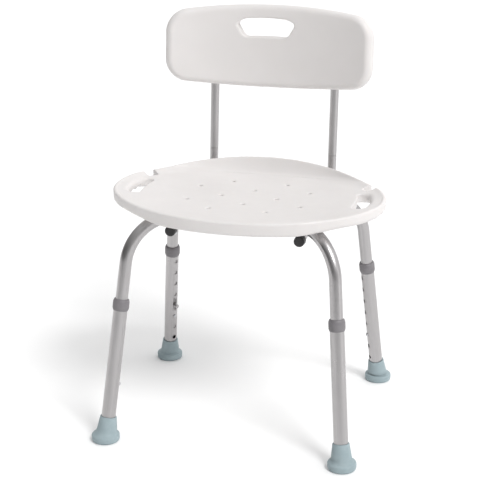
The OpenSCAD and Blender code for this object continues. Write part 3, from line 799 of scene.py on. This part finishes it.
def build_collar(key):
    """A ring whose two ends slope in to the tubes."""
    place = leg_place(CORNERS[key])
    foot = LEG_R + 0.03
    edge = LEG_R + 0.7
    profile = [(foot, COLLAR_LOW), (edge - 0.3, COLLAR_LOW), (edge, COLLAR_LOW + 0.4),
               (COLLAR_R - 0.3, COLLAR_LOW + 3.6), (COLLAR_R, COLLAR_LOW + 4.8),
               (COLLAR_R, COLLAR_TOP - 5), (COLLAR_R - 0.25, COLLAR_TOP - 3.8),
               (edge, COLLAR_TOP - 0.6), (edge - 0.5, COLLAR_TOP), (TUBE_R + 0.1, COLLAR_TOP),
               (TUBE_R + 0.1, LEG_TOP + 0.1), (foot, LEG_TOP + 0.1)]
    collar = turned(f"collar_{key}", profile, place)
    show(collar, f"leg_{key}", "collar", COLLAR, f"leg_collar_{key}")


def build_tip(key):
    """A tip whose base is level on the floor while its socket leans with the leg.

    Each ring is a radius, a height and how far it leans, from 0 for level to 1 for the leg's own lean."""
    place = leg_place(CORNERS[key])
    level = Matrix.Translation(place.translation)
    lean = place.to_quaternion()
    flat = Matrix.Identity(3).to_quaternion()
    recess = [(0, 1.8, 0), (13.5, 1.8, 0), (14.6, 1.5, 0), (15, 0.5, 0), (15.4, 0, 0)]
    flange = [(20.5, 0, 0), (22.6, 0.25, 0), (24, 1, 0), (24.8, 2.2, 0), (25.2, 4, 0), (25.45, 8, 0),
              (25.4, 10.2, 0), (25, 11.6, 0), (24.3, 12.5, 0), (23.2, 13.1, 0)]
    waist = [(21.9, 13.6, 0.1), (20.6, 14.5, 0.25), (19.5, 16, 0.45), (18.8, 18, 0.7), (18.3, 20.5, 0.9)]
    socket = [(17.9, 24, 1), (16.6, 33, 1), (15.6, 40, 1), (15.1, 43.3, 1), (14.9, 44.3, 1), (14.5, 45, 1),
              (13.9, 45.2, 1), (13.2, 44.9, 1), (TIP_BORE, 44.2, 1), (TIP_BORE, TIP_FLOOR, 1),
              (0, TIP_FLOOR, 1)]
    angles = np.linspace(0, 2 * pi, 96, endpoint=False)
    rings = []
    for r, z, mix in recess + flange + waist + socket:
        turn = flat.slerp(lean, mix).to_matrix().to_4x4()
        centre = (level @ Vector((0, 0, z))).lerp(place @ Vector((0, 0, z)), mix)
        ring = Matrix.Translation(centre) @ turn
        rings.append([ring @ Vector((r * cos(a), r * sin(a), 0)) for a in angles])
    tip = loft(f"foot_tip_{key}", rings, True)
    clean(tip)
    sharpen(tip, 60)
    show(tip, f"leg_{key}", "tip", RUBBER, f"rubber_tip_{key}")


def finish_cad_nodes():
    """The fixings keep their CAD shapes and get their materials here."""
    looks = {"fixing": STEEL, "spring": SPRING, "insert": BRASS, "cap": VINYL, "tube": ALUMINIUM,
             "collar": COLLAR, "tip": RUBBER, "shell": PLASTIC}
    slots = {part["node"]: part["material_slot"] for part in frame["record"]["subparts"]}
    for node, obj in frame["nodes"].items():
        obj.data.materials.clear()
        obj.data.materials.append(looks[slots[node]])


# ---------- studio ----------

CAMERA_LENS = 103
CAMERA_PLACE = (0.5862, -2.312, 1.1384)
CAMERA_DOWN = 0.324
CAMERA_TURN = 0.255


def add_floor():
    bm = bmesh.new()
    bmesh.ops.create_grid(bm, x_segments=8, y_segments=8, size=14)
    mesh = bpy.data.meshes.new("floor")
    bm.to_mesh(mesh)
    bm.free()
    floor = bpy.data.objects.new("floor", mesh)
    floor.data.materials.append(studio_floor())
    bpy.context.scene.collection.objects.link(floor)


def add_area(name, place, aim, size, power):
    data = bpy.data.lights.new(name, "AREA")
    data.shape = "RECTANGLE"
    data.size, data.size_y = size
    data.energy = power
    light = bpy.data.objects.new(name, data)
    light.location = place
    light.rotation_euler = (Vector(aim) - Vector(place)).to_track_quat("-Z", "Y").to_euler()
    bpy.context.scene.collection.objects.link(light)


def add_sun(name, direction, strength, angle):
    data = bpy.data.lights.new(name, "SUN")
    data.energy = strength
    data.angle = radians(angle)
    light = bpy.data.objects.new(name, data)
    light.rotation_euler = (-Vector(direction)).to_track_quat("-Z", "Y").to_euler()
    bpy.context.scene.collection.objects.link(light)


def add_world():
    """A studio that is bright overhead and behind the chair and dim in front of it."""
    world = bpy.data.worlds.new("studio")
    world.use_nodes = True
    bpy.context.scene.world = world
    tree = world.node_tree
    where = tree.nodes.new("ShaderNodeTexCoord")
    up_and_back = tree.nodes.new("ShaderNodeVectorMath")
    up_and_back.operation = "DOT_PRODUCT"
    up_and_back.inputs[1].default_value = (0.24, 0.2, 0.45)
    tree.links.new(where.outputs["Generated"], up_and_back.inputs[0])
    shift = tree.nodes.new("ShaderNodeMapRange")
    shift.inputs["From Min"].default_value = -0.5
    shift.inputs["From Max"].default_value = 0.5
    tree.links.new(up_and_back.outputs["Value"], shift.inputs["Value"])
    colour = ramp(tree, shift.outputs["Result"], [(0.0, 0.01), (0.28, 0.08), (0.6, 0.5), (1.0, 1.12)])
    tree.links.new(colour, tree.nodes["Background"].inputs["Color"])


def add_camera():
    """The camera stands in front of the chair, a little towards +X, and looks down at it."""
    data = bpy.data.cameras.new("camera")
    data.lens = CAMERA_LENS
    data.sensor_width = 36
    camera = bpy.data.objects.new("camera", data)
    camera.location = CAMERA_PLACE
    camera.rotation_euler = (pi / 2 - CAMERA_DOWN, 0, CAMERA_TURN)
    bpy.context.scene.collection.objects.link(camera)
    bpy.context.scene.camera = camera


finish_cad_nodes()
build_seat()
build_backrest()
build_cross_tube("tube_piece_a", CORNERS["fl"], CORNERS["rr"], LAP_LIFT)
build_cross_tube("tube_piece_b", CORNERS["fr"], CORNERS["rl"], -LAP_LIFT)
for name, side in SIDES.items():
    build_back_tube(name, side)
    build_post(name, side)
    build_cap(name, side)
for key in CORNERS:
    build_leg(key)
    build_collar(key)
    build_tip(key)
add_floor()
add_world()
add_sun("key", (0.5, -0.42, 0.75), 1.5, 20)
add_area("right_box", (2.6, -0.6, 0.7), (0, 0, 0.3), (0.5, 1.4), 2)
add_camera()
bpy.context.scene.view_settings.view_transform = "Standard"
